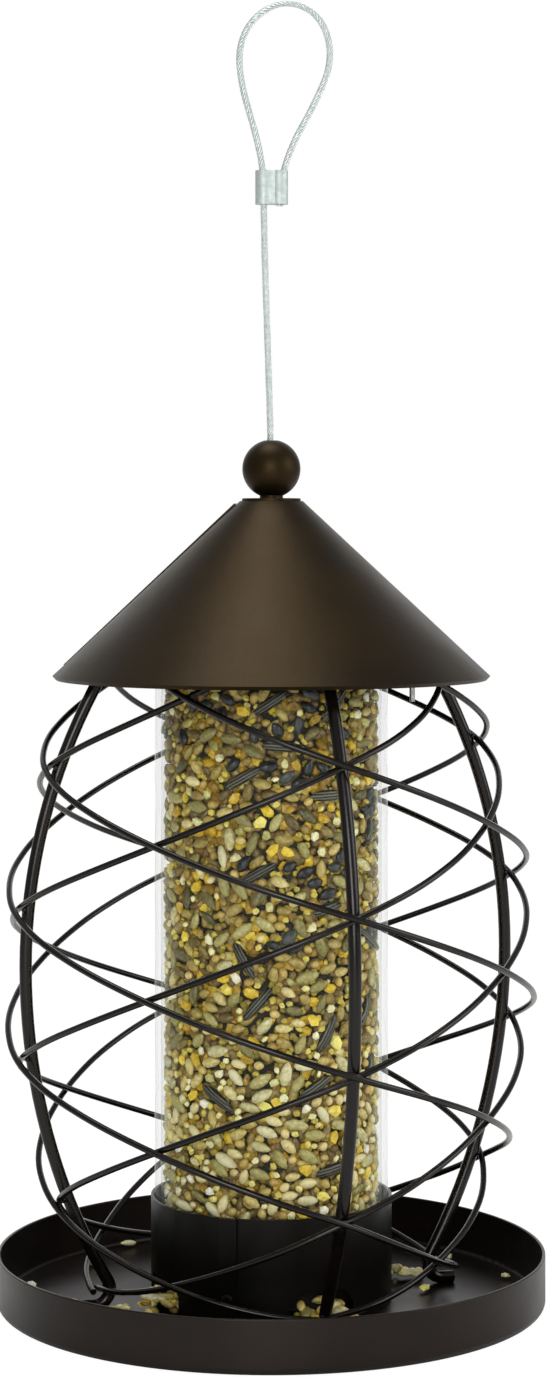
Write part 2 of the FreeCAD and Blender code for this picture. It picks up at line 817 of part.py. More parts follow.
def make_bail(doc, s):
    """A wire over the tube whose ends hook under the ring, with an eye at its crest."""
    hook = s["ring_wire"].value / 2 + s["bail_wire"].value / 2 + s["bail_gap"].value
    ring = s["ring_dia"].value / 2
    level = s["ring_height"].value
    leg = ring - hook
    tail = ring + hook + 0.2
    under = level - hook
    shoulder = level + s["bail_shoulder"].value
    crest = Vector(0, 0, level + s["bail_rise"].value)
    left = [
        Vector(-tail, 0, level - s["tail_left"].value),
        Vector(-tail, 0, under),
        Vector(-leg, 0, under),
        Vector(-leg, 0, shoulder),
    ]
    right = [
        Vector(leg, 0, shoulder),
        Vector(leg, 0, under),
        Vector(tail, 0, under),
        Vector(tail, 0, level - s["tail_right"].value),
    ]
    bend = s["bail_bend"].value
    radii = [hook, hook, bend, bend, bend, hook, hook]
    path, radii = rounded_path(left + [crest] + right, radii)
    wire = swept(doc, "bail_bow", path, s["bail_wire"] / 2)
    eye_low = eye_foot(s)
    eye = cylinder(doc, "bail_eye", s["eye_dia"] / 2, s["eye_height"], Size(0), eye_low)
    whole = fused(doc, "bail_and_eye", [wire, eye])
    hole_height = s["eye_height"] + 6
    hole = cylinder(doc, "bail_eye_hole", s["eye_hole"] / 2, hole_height, Size(0), eye_low - 3)
    return drilled(doc, "bail_yoke", whole, [hole])


def eye_foot(s):
    return s["ring_height"] + s["bail_rise"] - s["eye_height"] * 0.58


def stop_foot(s):
    return eye_foot(s) - s["stop_gap"] - s["stop_length"]


def make_cable(doc, s):
    """The steel cable: up from its stop, through the ball, and round a loop into the ferrule."""
    base = (roof_top(s) + s["disc_sheet"]).value
    points = [Vector(0, 0, stop_foot(s).value)]
    points += [Vector(across, 0, base + up) for across, up in CABLE_ROUTE]
    path, radii = rounded_path(points)
    print("cable radii:", " ".join(f"{radius:.1f}" for radius in radii))
    return swept(doc, "hanging_cable", path, s["cable_dia"] / 2)


def make_stop(doc, s):
    """The sleeve crimped on the cable's lower end, under the bail's eye."""
    foot = stop_foot(s)
    bore = s["crimp_bore"] / 2
    sleeve = cylinder(doc, "stop_sleeve", s["stop_dia"] / 2, s["stop_length"], Size(0), foot)
    hole = cylinder(doc, "stop_bore", bore, s["stop_length"] + 2, Size(0), foot - 1)
    return drilled(doc, "cable_stop", sleeve, [hole])


def make_ferrule(doc, s):
    """The double-barrel ferrule that closes the loop; its barrels stand on the cable's two strands."""
    foot = roof_top(s) + s["disc_sheet"] + CABLE_ROUTE[-1][1] + s["ferrule_lip"]
    strands = {"left": as_size(CABLE_ROUTE[2][0]), "right": as_size(CABLE_ROUTE[-1][0])}
    radius = s["barrel_dia"] / 2
    barrels = []
    holes = []
    for name, across in strands.items():
        barrels.append(cylinder(doc, f"barrel_{name}", radius, s["ferrule_length"], across, foot))
        length = s["ferrule_length"] + 2
        holes.append(cylinder(doc, f"barrel_bore_{name}", s["crimp_bore"] / 2, length, across, foot - 1))
    web = doc.addObject("Part::Box", "ferrule_web")
    web.setExpression("Length", (strands["right"] - strands["left"]).text)
    web.setExpression("Width", (s["barrel_dia"] * 0.84).text)
    web.setExpression("Height", s["ferrule_length"].text)
    web.setExpression("Placement.Base.x", strands["left"].text)
    web.setExpression("Placement.Base.y", (s["barrel_dia"] * -0.42).text)
    web.setExpression("Placement.Base.z", foot.text)
    whole = fused(doc, "ferrule_barrels", barrels + [web])
    return drilled(doc, "loop_ferrule", whole, holes)


def main():
    doc = FreeCAD.newDocument("seed_feeder")
    s = size_sheet(doc)
    parts = [
        make_tray(doc, s),
        make_cup(doc, s),
        make_rivet(doc, s),
        make_seat_ring(doc, s),
        make_tube(doc, s),
        make_deflector(doc, s),
        make_seed(doc, s),
        make_ring(doc, s),
        make_roof(doc, s),
        make_disc(doc, s),
        make_sleeve(doc, s),
        make_ball(doc, s),
        make_bail(doc, s),
        make_cable(doc, s),
        make_stop(doc, s),
        make_ferrule(doc, s),
    ]
    parts += [make_rib(doc, s, number) for number in range(4)]
    parts += [make_weave(doc, s, hand, start) for hand in ("right", "left") for start in range(4)]
    doc.recompute()

    failed = [obj.Name for obj in doc.Objects if {"Invalid", "Error"} & set(obj.State)]
    if failed:
        raise RuntimeError("objects that failed to build: " + ", ".join(failed))
    for part in parts:
        if part.Shape.isNull() or not part.Shape.isValid() or part.Shape.Volume <= 0:
            raise RuntimeError("no valid shape: " + part.Label)
    os.makedirs("parts", exist_ok=True)
    for part in parts:
        part.Shape.exportStep(f"parts/{part.Label}.step")
        box = part.Shape.BoundBox
        print(f"{part.Label}: {len(part.Shape.Solids)} solid, z {box.ZMin:.2f} to {box.ZMax:.2f}")


main()
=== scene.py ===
import math
import random

import bmesh
import bpy
from mathutils import Matrix, Vector


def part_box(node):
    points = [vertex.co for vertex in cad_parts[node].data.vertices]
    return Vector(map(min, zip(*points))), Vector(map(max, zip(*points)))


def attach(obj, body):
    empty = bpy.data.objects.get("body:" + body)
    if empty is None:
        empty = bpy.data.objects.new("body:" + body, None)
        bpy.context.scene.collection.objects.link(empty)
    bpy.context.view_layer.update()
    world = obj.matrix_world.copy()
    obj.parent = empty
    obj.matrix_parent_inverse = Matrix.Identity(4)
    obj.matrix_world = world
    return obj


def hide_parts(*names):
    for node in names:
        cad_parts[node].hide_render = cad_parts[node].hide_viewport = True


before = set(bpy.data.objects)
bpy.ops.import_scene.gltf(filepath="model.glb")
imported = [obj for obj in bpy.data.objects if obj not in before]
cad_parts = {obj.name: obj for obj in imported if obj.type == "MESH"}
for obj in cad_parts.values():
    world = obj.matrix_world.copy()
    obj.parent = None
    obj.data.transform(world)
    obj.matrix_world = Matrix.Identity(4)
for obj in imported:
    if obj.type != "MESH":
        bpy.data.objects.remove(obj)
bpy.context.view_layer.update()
mm = 0.001


def toLinear(hexText):
    values = [int(hexText[i:i + 2], 16) / 255 for i in (1, 3, 5)]
    return tuple(v / 12.92 if v <= 0.04045 else ((v + 0.055) / 1.055) ** 2.4 for v in values) + (1.0,)


def addNode(material, kind, inputs=None, **settings):
    node = material.node_tree.nodes.new(kind)
    for name, value in settings.items():
        setattr(node, name, value)
    for socket, value in (inputs or {}).items():
        if isinstance(value, bpy.types.NodeSocket):
            material.node_tree.links.new(value, node.inputs[socket])
        else:
            node.inputs[socket].default_value = value
    return node


def newMaterial(name):
    material = bpy.data.materials.new(name)
    material.use_nodes = True
    material.node_tree.nodes.clear()
    return material


def finishMaterial(material, shader):
    addNode(material, "ShaderNodeOutputMaterial", {"Surface": shader.outputs[0]})
    return material


def setRamp(ramp, stops):
    elements = ramp.color_ramp.elements
    while len(elements) < len(stops):
        elements.new(0.5)
    for element, (place, colour) in zip(elements, stops):
        element.position = place
        element.color = toLinear(colour)


coatPattern = {
    "speckleScale": 1600.0,
    "cloudScale": 38.0,
    "peelScale": 420.0,
    "rampStart": 0.35,
    "rampSpan": 0.9,
}


def makeCoat(name, deep, lit, metallic, rough, grain, shine):
    # sprayed coat on sheet steel: fine speckle of flake, slight orange peel, a little rubbed unevenness
    material = newMaterial(name)
    coords = addNode(material, "ShaderNodeTexCoord")
    place = coords.outputs["Object"]
    speckle = addNode(material, "ShaderNodeTexNoise", {"Vector": place,
                      "Scale": coatPattern["speckleScale"], "Detail": 2.0})
    cloud = addNode(material, "ShaderNodeTexNoise", {"Vector": place,
                    "Scale": coatPattern["cloudScale"], "Detail": 4.0})
    blend = addNode(material, "ShaderNodeMath", {0: speckle.outputs["Fac"], 1: grain},
                    operation="MULTIPLY")
    total = addNode(material, "ShaderNodeMath", {0: blend.outputs[0], 1: cloud.outputs["Fac"]},
                    operation="ADD")
    ramp = addNode(material, "ShaderNodeValToRGB", {"Fac": total.outputs[0]})
    start = coatPattern["rampStart"]
    setRamp(ramp, [(start, deep), (start + 0.5 * (1 + grain) * coatPattern["rampSpan"], lit)])
    roughness = addNode(material, "ShaderNodeMapRange", {"Value": cloud.outputs["Fac"],
                        "From Min": 0.3, "From Max": 0.7,
                        "To Min": rough - 0.05, "To Max": rough + 0.06})
    peel = addNode(material, "ShaderNodeTexNoise", {"Vector": place,
                   "Scale": coatPattern["peelScale"], "Detail": 2.0})
    bump = addNode(material, "ShaderNodeBump", {"Height": peel.outputs["Fac"], "Strength": 0.12,
                   "Distance": 0.0003})
    shader = addNode(material, "ShaderNodeBsdfPrincipled", {"Base Color": ramp.outputs["Color"],
                     "Metallic": metallic, "Roughness": roughness.outputs[0],
                     "Specular IOR Level": shine, "Normal": bump.outputs[0]})
    return finishMaterial(material, shader)


def makeMetal(name, deep, lit, rough, scratch, metallic=1.0):
    # bare metal with a faint drawn grain
    material = newMaterial(name)
    coords = addNode(material, "ShaderNodeTexCoord")
    grain = addNode(material, "ShaderNodeTexNoise", {"Vector": coords.outputs["Object"],
                    "Scale": scratch, "Detail": 5.0, "Roughness": 0.7})
    ramp = addNode(material, "ShaderNodeValToRGB", {"Fac": grain.outputs["Fac"]})
    setRamp(ramp, [(0.3, deep), (0.7, lit)])
    roughness = addNode(material, "ShaderNodeMapRange", {"Value": grain.outputs["Fac"],
                        "From Min": 0.3, "From Max": 0.7,
                        "To Min": rough + 0.08, "To Max": rough - 0.04})
    bump = addNode(material, "ShaderNodeBump", {"Height": grain.outputs["Fac"], "Strength": 0.15,
                   "Distance": 0.0002})
    shader = addNode(material, "ShaderNodeBsdfPrincipled", {"Base Color": ramp.outputs["Color"],
                     "Metallic": metallic, "Roughness": roughness.outputs[0],
                     "Normal": bump.outputs[0]})
    return finishMaterial(material, shader)


bronzePaint = makeCoat("metallicBronzePaint", "#1F160A", "#30240F", 0.86, 0.46, 0.5, 0.4)
trayPaint = makeCoat("darkBronzePaint", "#150F0C", "#231914", 0.65, 0.35, 0.25, 0.55)
cupPaint = makeCoat("nearBlackPaint", "#080706", "#100D0A", 0.3, 0.34, 0.25, 0.22)
cagePaint = makeCoat("brownBlackWireCoat", "#0B0807", "#18110C", 0.5, 0.22, 0.2, 0.6)
galvanised = makeMetal("galvanisedStrand", "#B6C0BC", "#E8EEEB", 0.42, 900.0, 0.7)
pressedAluminium = makeMetal("pressedAluminium", "#AEB8B5", "#CCD6D2", 0.55, 500.0, 0.55)
zincWire = makeMetal("zincPlatedWire", "#8E9090", "#C3C4C2", 0.38, 800.0)


def makeAcrylic():
    # extruded clear acrylic: nearly invisible face on, milky and bright at the edges
    material = newMaterial("extrudedAcrylic")
    edge = addNode(material, "ShaderNodeLayerWeight", {"Blend": 0.2})
    coords = addNode(material, "ShaderNodeTexCoord")
    drawn = addNode(material, "ShaderNodeMapping", {"Vector": coords.outputs["Object"],
                    "Scale": (260.0, 260.0, 3.0)})
    streak = addNode(material, "ShaderNodeTexNoise", {"Vector": drawn.outputs[0], "Scale": 1.0,
                     "Detail": 3.0})
    haze = addNode(material, "ShaderNodeMapRange", {"Value": streak.outputs["Fac"], "From Min": 0.5,
                   "From Max": 0.8, "To Min": 0.0, "To Max": 0.02})
    clear = addNode(material, "ShaderNodeMapRange", {"Value": edge.outputs["Facing"],
                    "From Min": 0.2, "From Max": 0.95, "To Min": 0.008, "To Max": 0.46})
    alpha = addNode(material, "ShaderNodeMath", {0: clear.outputs[0], 1: haze.outputs[0]},
                    operation="ADD")
    shader = addNode(material, "ShaderNodeBsdfPrincipled", {"Base Color": toLinear("#C8D2C8"),
                     "Roughness": 0.06, "IOR": 1.49, "Alpha": alpha.outputs[0]})
    return finishMaterial(material, shader)


acrylic = makeAcrylic()


def coat(node, material):
    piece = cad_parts[node]
    piece.data.materials.clear()
    piece.data.materials.append(material)


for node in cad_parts:
    if node.startswith(("rib_", "weave_")) or node == "cage_top_ring":
        coat(node, cagePaint)
coat("tray_pan", trayPaint)
for node in ("tube_cup", "seam_rivet", "tube_seat_ring", "seed_deflector"):
    coat(node, cupPaint)
for node in ("roof_cone", "roof_top_disc", "ball_finial"):
    coat(node, bronzePaint)
for node in ("bail_yoke", "neck_sleeve"):
    coat(node, zincWire)
for node in ("loop_ferrule", "cable_stop"):
    coat(node, pressedAluminium)
coat("seed_tube", acrylic)
print("finishes on the frame")

camera = bpy.data.objects.new("camera", bpy.data.cameras.new("camera"))
bpy.context.collection.objects.link(camera)
camera.data.lens = 78.1
camera.location = (0.002, -0.9796, 0.252)
camera.rotation_euler = (math.radians(90), 0, 0)
camera.data.shift_y = -0.1195
bpy.context.scene.camera = camera

cable = {
    "diameter": 2.2 * mm,
    "length": 279 * mm,
    "strands": 6,  # wound round one more in the middle
    "strandShare": 0.335,  # a strand's radius, as a share of the cable's
    "layLength": 8.5 * mm,  # one turn of a strand
    "stepsPerLay": 12,
    # sideways place and height above the roof's top disc of each point of the route, in mm
    "route": [(0, 0), (0, 15.1), (-1.4, 55.0), (-2.5, 91.0), (-2.5, 110.4), (-11.2, 138.7),
              (-9.3, 153.0), (0.4, 161.4), (9.6, 161.4), (17.1, 155.4), (19.9, 143.9),
              (16.0, 131.9), (2.7, 107.9), (2.7, 95.3)],
}


def makeCable():
    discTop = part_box("roof_top_disc")[1][2]
    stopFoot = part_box("cable_stop")[0][2]
    points = [Vector((x * mm, 0, discTop + up * mm)) for x, up in cable["route"]]
    points[0].z = stopFoot
    curve = bpy.data.curves.new("cableRoute", "CURVE")
    curve.dimensions = "3D"
    curve.resolution_u = 24
    spline = curve.splines.new("NURBS")
    spline.points.add(len(points) - 1)
    for point, place in zip(spline.points, points):
        point.co = (*place, 1)
    spline.order_u = 3
    spline.use_endpoint_u = True
    route = bpy.data.objects.new("cableRoute", curve)
    bpy.context.collection.objects.link(route)
    line = bpy.data.meshes.new_from_object(route)
    path = [vertex.co.copy() for vertex in line.vertices]
    bpy.data.objects.remove(route)

    # the strands wind round the route; the route lies in one upright plane
    rope = bpy.data.curves.new("hangingCable", "CURVE")
    rope.dimensions = "3D"
    strandRadius = cable["diameter"] / 2 * cable["strandShare"]
    windRadius = cable["diameter"] / 2 - strandRadius
    rope.bevel_depth = strandRadius
    rope.bevel_resolution = 1
    rope.use_fill_caps = True
    # even steps along the route
    fine = []
    step = cable["layLength"] / cable["stepsPerLay"]
    travelled = 0.0
    wanted = 0.0
    for start, end in zip(path, path[1:]):
        run = (end - start).length
        while wanted <= travelled + run and run > 0:
            place = start.lerp(end, (wanted - travelled) / run)
            fine.append((place, (end - start).normalized(), wanted))
            wanted += step
        travelled += run
    side = Vector((0, 1, 0))
    for strand in range(cable["strands"] + 1):
        turn = 2 * math.pi * strand / cable["strands"]
        spline = rope.splines.new("POLY")
        spline.points.add(len(fine) - 1)
        for point, (place, ahead, far) in zip(spline.points, fine):
            angle = turn + 2 * math.pi * far / cable["layLength"]
            out = side * math.cos(angle) + ahead.cross(side) * math.sin(angle)
            wind = 0 if strand == cable["strands"] else windRadius
            point.co = (*(place + out * wind), 1)
    holder = bpy.data.objects.new("cableStrands", rope)
    bpy.context.collection.objects.link(holder)
    mesh = bpy.data.meshes.new_from_object(holder)
    bpy.data.objects.remove(holder)
    piece = bpy.data.objects.new("hangingCable", mesh)
    bpy.context.collection.objects.link(piece)
    for face in mesh.polygons:
        face.use_smooth = True
    mesh.materials.clear()
    mesh.materials.append(galvanised)
    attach(piece, "feeder_body")
    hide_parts("hanging_cable")


makeCable()
print("cable")

seedFill = {
    "wallGap": 0.3 * mm,
    "bottom": 27 * mm,
    "topGap": 5 * mm,  # from the top of the fill to the highest seed at the wall
    "paleBelow": 85 * mm,
    # painted shade: from this height up the seeds are darkened, standing in for the roof's shadow
    "paintedRoofShadeAbove": 165 * mm,
    "paleTone": 0.28,
    "paintedRoofShadeTone": -0.17,
    "darkPatches": 38,
    "patchSeeds": (3, 14),
    "patchSpread": (4.0, 2.6),  # mm, round and up
    "backStep": 2.9 * mm,
    "backDepth": 2.0 * mm,
    # painted shade: tone taken off the back layer's seeds, which stand deeper between the front ones
    "backShadeTone": -0.34,
    "topSeeds": 430,
    # painted shade: tone taken off the heaped top's seeds under the roof
    "topShadeTone": -0.1,
    "peakDrop": 3 * mm,
    "edgeDrop": 2.5 * mm,  # of the heaped top, below its peak
    "goldenTurn": 137.5,  # degrees
    "cell": 5.0,  # mm, of the grid in which neighbours are looked up
    "touch": 0.84,  # how close two seeds may come, as a share of touching
    "seed": 11,
}
# half length, half width and half thickness in mm; how many are tried; chips have flat faces
seedKinds = {
    "sunflowerHeart": {"half": (3.9, 2.0, 1.2), "tries": 620, "chip": False,
                       "colours": ["#4E4A26", "#8A8246", "#B4AC66", "#E0DAAC"]},
    "wheatGrain": {"half": (3.0, 1.75, 1.35), "tries": 2200, "chip": False,
                   "colours": ["#62501E", "#9C8840", "#C6B464", "#E8DCA0"]},
    "maizeChip": {"half": (2.5, 2.0, 1.2), "tries": 1700, "chip": True,
                  "colours": ["#846406", "#C8A212", "#EACE30", "#F8EE84"]},
    "blackSeed": {"half": (3.2, 2.0, 1.3), "tries": 60, "chip": False,
                  "colours": ["#0A0C0B", "#151817", "#262B29", "#424844"]},
    "creamChip": {"half": (2.1, 1.65, 1.05), "tries": 2100, "chip": True,
                  "colours": ["#969242", "#CECA80", "#F0EEBA", "#FCFBE8"]},
    "redDari": {"half": (1.75, 1.5, 1.3), "tries": 5200, "chip": False,
                "colours": ["#6C5420", "#A88C40", "#CCB25E", "#EAD898"]},
    "brokenCorn": {"half": (1.35, 1.1, 0.8), "tries": 7000, "chip": True,
                   "colours": ["#867820", "#C2AE3A", "#E4D664", "#F8F4BC"]},
}
stripedSeed = {
    "half": (7.0, 2.0, 1.4),
    "count": 26,
    "footRoom": 12,  # mm, above the lowest seed at the wall
    "headRoom": 5,
    "stripes": 13.0,  # radians of the stripe wave over half the width
}


def makeSeedMaterial(name, colours, rough):
    # dry seed coat: tone differs from seed to seed, with faint mottling on each
    material = newMaterial(name)
    coords = addNode(material, "ShaderNodeTexCoord")
    tint = addNode(material, "ShaderNodeAttribute", attribute_name="tone")
    mottle = addNode(material, "ShaderNodeTexNoise", {"Vector": coords.outputs["Object"],
                     "Scale": 900.0, "Detail": 3.0})
    spread = addNode(material, "ShaderNodeMapRange", {"Value": mottle.outputs["Fac"], "From Min": 0.3,
                     "From Max": 0.7, "To Min": -0.16, "To Max": 0.16})
    tone = addNode(material, "ShaderNodeMath", {0: tint.outputs["Fac"], 1: spread.outputs[0]},
                   operation="ADD")
    ramp = addNode(material, "ShaderNodeValToRGB", {"Fac": tone.outputs[0]})
    setRamp(ramp, [(0.02, colours[0]), (0.35, colours[1]), (0.68, colours[2]), (0.98, colours[3])])
    bump = addNode(material, "ShaderNodeBump", {"Height": mottle.outputs["Fac"], "Strength": 0.25,
                   "Distance": 0.0002})
    shader = addNode(material, "ShaderNodeBsdfPrincipled", {"Base Color": ramp.outputs["Color"],
                     "Roughness": rough, "Normal": bump.outputs[0]})
    return finishMaterial(material, shader)


def makeStripedMaterial():
    # striped sunflower husk: pale lines along a black shell
    material = newMaterial("stripedSunflowerHusk")
    across = addNode(material, "ShaderNodeAttribute", attribute_name="across")
    tint = addNode(material, "ShaderNodeAttribute", attribute_name="tone")
    wave = addNode(material, "ShaderNodeMath", {0: across.outputs["Fac"],
                   1: stripedSeed["stripes"]}, operation="MULTIPLY")
    line = addNode(material, "ShaderNodeMath", {0: wave.outputs[0]}, operation="SINE")
    shade = addNode(material, "ShaderNodeMath", {0: tint.outputs["Fac"], 1: 0.5},
                    operation="MULTIPLY")
    total = addNode(material, "ShaderNodeMath", {0: line.outputs[0], 1: shade.outputs[0]},
                    operation="ADD")
    ramp = addNode(material, "ShaderNodeValToRGB", {"Fac": total.outputs[0]})
    setRamp(ramp, [(0.2, "#0E0F0B"), (0.65, "#1E1F19"), (0.98, "#6E6D57")])
    shader = addNode(material, "ShaderNodeBsdfPrincipled", {"Base Color": ramp.outputs["Color"],
                     "Roughness": 0.5})
    return finishMaterial(material, shader)


def seedShape(half, chip, rng):
    # a grain is drawn to a point at one end; a chip is a broken piece with flat faces
    shape = bmesh.new()
    if chip:
        bmesh.ops.create_icosphere(shape, subdivisions=1, radius=1.0)
    else:
        bmesh.ops.create_uvsphere(shape, u_segments=7, v_segments=5, radius=1.0,
                                  matrix=Matrix.Rotation(math.pi / 2, 4, "Y"))
    for vertex in shape.verts:
        if chip:
            vertex.co *= rng.uniform(0.75, 1.15)
        else:
            taper = 1 - 0.38 * max(0.0, vertex.co.x) ** 1.6
            vertex.co.y *= taper
            vertex.co.z *= taper
        vertex.co = Vector((vertex.co.x * half[0], vertex.co.y * half[1], vertex.co.z * half[2])) * mm
    mesh = bpy.data.meshes.new("seedShape")
    shape.to_mesh(mesh)
    shape.free()
    return mesh


def joinSeeds(name, shapes, places, material, smooth, body="feeder_body"):
    # places: one (matrix, tone) for each seed
    pile = bmesh.new()
    tones = []
    across = []
    for number, (matrix, tone) in enumerate(places):
        mesh = shapes[number % len(shapes)]
        width = max(abs(vertex.co.y) for vertex in mesh.vertices)
        across.extend(vertex.co.y / width for vertex in mesh.vertices)
        copy = mesh.copy()
        copy.transform(matrix)
        pile.from_mesh(copy)
        bpy.data.meshes.remove(copy)
        tones.extend([tone] * len(mesh.vertices))
    mesh = bpy.data.meshes.new(name)
    pile.to_mesh(mesh)
    pile.free()
    mesh.attributes.new("tone", "FLOAT", "POINT").data.foreach_set("value", tones)
    mesh.attributes.new("across", "FLOAT", "POINT").data.foreach_set("value", across)
    mesh.polygons.foreach_set("use_smooth", [smooth] * len(mesh.polygons))
    mesh.materials.append(material)
    piece = bpy.data.objects.new(name, mesh)
    bpy.context.collection.objects.link(piece)
    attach(piece, body)
    return piece


def wallPlace(bearing, height, radius, lie, tilt, rng):
    # a seed flat against the tube, its length turned by lie, tipped by tilt
    outward = Vector((math.sin(bearing), -math.cos(bearing), 0))
    around = Vector((math.cos(bearing), math.sin(bearing), 0))
    stand = Matrix((around, Vector((0, 0, 1)), outward)).transposed().to_4x4()
    spin = Matrix.Rotation(lie, 4, "Z") @ Matrix.Rotation(tilt, 4, "X") @ Matrix.Rotation(
        rng.gauss(0, 0.2), 4, "Y")
    spot = outward * radius
    spot.z = height
    return Matrix.Translation(spot) @ stand @ spin


seedMaterials = {name: makeSeedMaterial(name + "Coat", kind["colours"], 0.38)
                 for name, kind in seedKinds.items()}
stripedMaterial = makeStripedMaterial()
shapeRng = random.Random(5)
seedShapes = {name: [seedShape(kind["half"], kind["chip"], shapeRng) for count in range(5)]
              for name, kind in seedKinds.items()}
stripedShapes = [seedShape(stripedSeed["half"], False, shapeRng) for count in range(3)]


def turnBetween(first, second):
    return (first - second + math.pi) % (2 * math.pi) - math.pi


def addSeed(places, name, matrix, rng, paler=0.0):
    tone = min(1.0, max(0.0, rng.gauss(0.48 + paler, 0.24)))
    places[name].append((matrix @ Matrix.Scale(rng.uniform(0.85, 1.08), 4), tone))


class WallRoom:
    # keeps the room that each seed takes against the tube, as discs on the unrolled wall, in mm
    def __init__(self, around):
        self.around = around
        self.cells = {}
        self.count = max(1, int(around / seedFill["cell"]))

    def discs(self, x, y, lie, half):
        steps = max(1, round(half[0] / half[1] * 1.6))
        reach = (half[0] - half[1]) * 0.95
        for step in range(steps):
            along = 0.0 if steps == 1 else reach * (2 * step / (steps - 1) - 1)
            yield (x + along * math.cos(lie)) % self.around, y + along * math.sin(lie), half[1]

    def take(self, x, y, lie, half):
        found = list(self.discs(x, y, lie, half))
        for u, v, radius in found:
            column, row = int(u / self.around * self.count), int(v // seedFill["cell"])
            for side in (-1, 0, 1):
                for up in (-1, 0, 1):
                    cell = ((column + side) % self.count, row + up)
                    for otherU, otherV, other in self.cells.get(cell, ()):
                        apart = abs(u - otherU)
                        apart = min(apart, self.around - apart)
                        if math.hypot(apart, v - otherV) < (radius + other) * seedFill["touch"]:
                            return False
        for u, v, radius in found:
            key = (int(u / self.around * self.count), int(v // seedFill["cell"]))
            self.cells.setdefault(key, []).append((u, v, radius))
        return True


def makeSeedFill():
    rng = random.Random(seedFill["seed"])
    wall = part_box("seed_mix")[1][0] - seedFill["wallGap"]
    bottom = seedFill["bottom"] / mm
    top = (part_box("seed_mix")[1][2] - seedFill["topGap"]) / mm
    around = 2 * math.pi * wall / mm
    room = WallRoom(around)

    def against(x, y, lie, half, tilt):
        sink = abs(math.sin(tilt)) * (half[1] - half[2]) + half[2] * 1.08 + rng.uniform(0, 0.35)
        return wallPlace(x / around * 2 * math.pi, y * mm, wall - sink * mm, lie, tilt, rng)

    stripedPlaces = []
    low, high = bottom + stripedSeed["footRoom"], top - stripedSeed["headRoom"]
    while len(stripedPlaces) < stripedSeed["count"]:
        x, y, lie = rng.uniform(0, around), rng.uniform(low, high), rng.gauss(0.1, 0.6)
        if room.take(x, y, lie, stripedSeed["half"]):
            stripedPlaces.append((against(x, y, lie, stripedSeed["half"], 0.05), rng.random()))
    joinSeeds("stripedSeeds", stripedShapes, stripedPlaces, stripedMaterial, True)

    places = {name: [] for name in seedKinds}
    # black seeds lie together in patches; they are in the mix, and gathering more of them high up is
    # painted shade under the roof
    black = seedKinds["blackSeed"]["half"]
    spreadRound, spreadUp = seedFill["patchSpread"]
    for patch in range(seedFill["darkPatches"]):
        x, y = rng.uniform(0, around), bottom + (top - bottom) * rng.random() ** 0.4
        for count in range(rng.randint(*seedFill["patchSeeds"])):
            spot = (x + rng.gauss(0, spreadRound), y + rng.gauss(0, spreadUp),
                    rng.uniform(0, math.pi))
            if bottom < spot[1] < top and room.take(*spot, black):
                addSeed(places, "blackSeed", against(*spot, black, rng.gauss(0, 0.2)), rng)
    # the large kinds first; the small ones then settle in what room is left
    for name, kind in seedKinds.items():
        for count in range(kind["tries"]):
            x, y, lie = rng.uniform(0, around), rng.uniform(bottom, top), rng.gauss(0, 0.8)
            if room.take(x, y, lie, kind["half"]):
                paler = seedFill["paleTone"] if y * mm < seedFill["paleBelow"] else 0.0
                # painted shade: seeds high in the tube are darkened for the roof's shadow
                if y * mm > seedFill["paintedRoofShadeAbove"]:
                    paler = seedFill["paintedRoofShadeTone"]
                matrix = against(x, y, lie, kind["half"], rng.gauss(0, 0.22))
                addSeed(places, name, matrix, rng, paler)

    # a looser layer closes the gaps behind; its seeds are darkened as painted shade between the front
    # seeds
    backStep = seedFill["backStep"] / mm
    for row in range(int((top - bottom) / backStep)):
        for column in range(int(around / backStep)):
            name = rng.choice(("maizeChip", "redDari", "wheatGrain", "brokenCorn"))
            x = (column + 0.5 * (row % 2) + rng.uniform(-0.3, 0.3)) * backStep
            y = bottom + (row + rng.uniform(-0.3, 0.3)) * backStep
            radius = wall - seedFill["backDepth"] - seedKinds[name]["half"][2] * mm
            bearing, lie = x / around * 2 * math.pi, rng.uniform(0, math.pi)
            matrix = wallPlace(bearing, y * mm, radius, lie, 0.2, rng)
            addSeed(places, name, matrix, rng, seedFill["backShadeTone"])
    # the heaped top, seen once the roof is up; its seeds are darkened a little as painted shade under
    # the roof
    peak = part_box("seed_mix")[1][2] - seedFill["peakDrop"]
    for number in range(seedFill["topSeeds"]):
        name = rng.choice(("maizeChip", "redDari", "wheatGrain", "creamChip"))
        share = (number + rng.random()) / seedFill["topSeeds"]
        radius = math.sqrt(share) * (wall - 2.2 * mm)
        bearing = number * math.radians(seedFill["goldenTurn"])
        spot = Vector((radius * math.sin(bearing), -radius * math.cos(bearing),
                       peak - share * seedFill["edgeDrop"]))
        lie = Matrix.Rotation(rng.uniform(0, 2 * math.pi), 4, "Z")
        tip = Matrix.Rotation(rng.gauss(0, 0.2), 4, "X") @ Matrix.Rotation(rng.gauss(0, 0.2), 4, "Y")
        addSeed(places, name, Matrix.Translation(spot) @ lie @ tip, rng, seedFill["topShadeTone"])
    for name in seedKinds:
        chip = seedKinds[name]["chip"]
        joinSeeds(name + "s", seedShapes[name], places[name], seedMaterials[name], not chip)
        print(name, len(places[name]))


# lengths in mm
spilt = {
    "ports": 25.0,  # bearing of the first port in degrees; the others follow every quarter turn
    "ribBehind": 7.0,  # the rib beside each port, in degrees
    "ribFrom": 41.0,  # the rib's foot lies past this radius
    "ribRoom": 4.6,
    "heapSeeds": 64,
    "heapFrom": 34.0,
    "heapReach": 23.0,
    "heapUp": 5.5,
    "heapHalf": 7.5,  # half the width of a heap at its port
    "traySheet": 1.0,
    "palerTone": 0.3,
    # single seeds on the tray: places right of the middle and behind it
    "single": [(-50, 67), (-61, 40), (-64, -11), (-79, 10), (50, 6), (78, 23), (12, 74),
               (-22, 64), (60, 48), (35, 70), (-38, 55), (66, -30), (-70, -34), (58, -52)],
    "seed": 23,
}


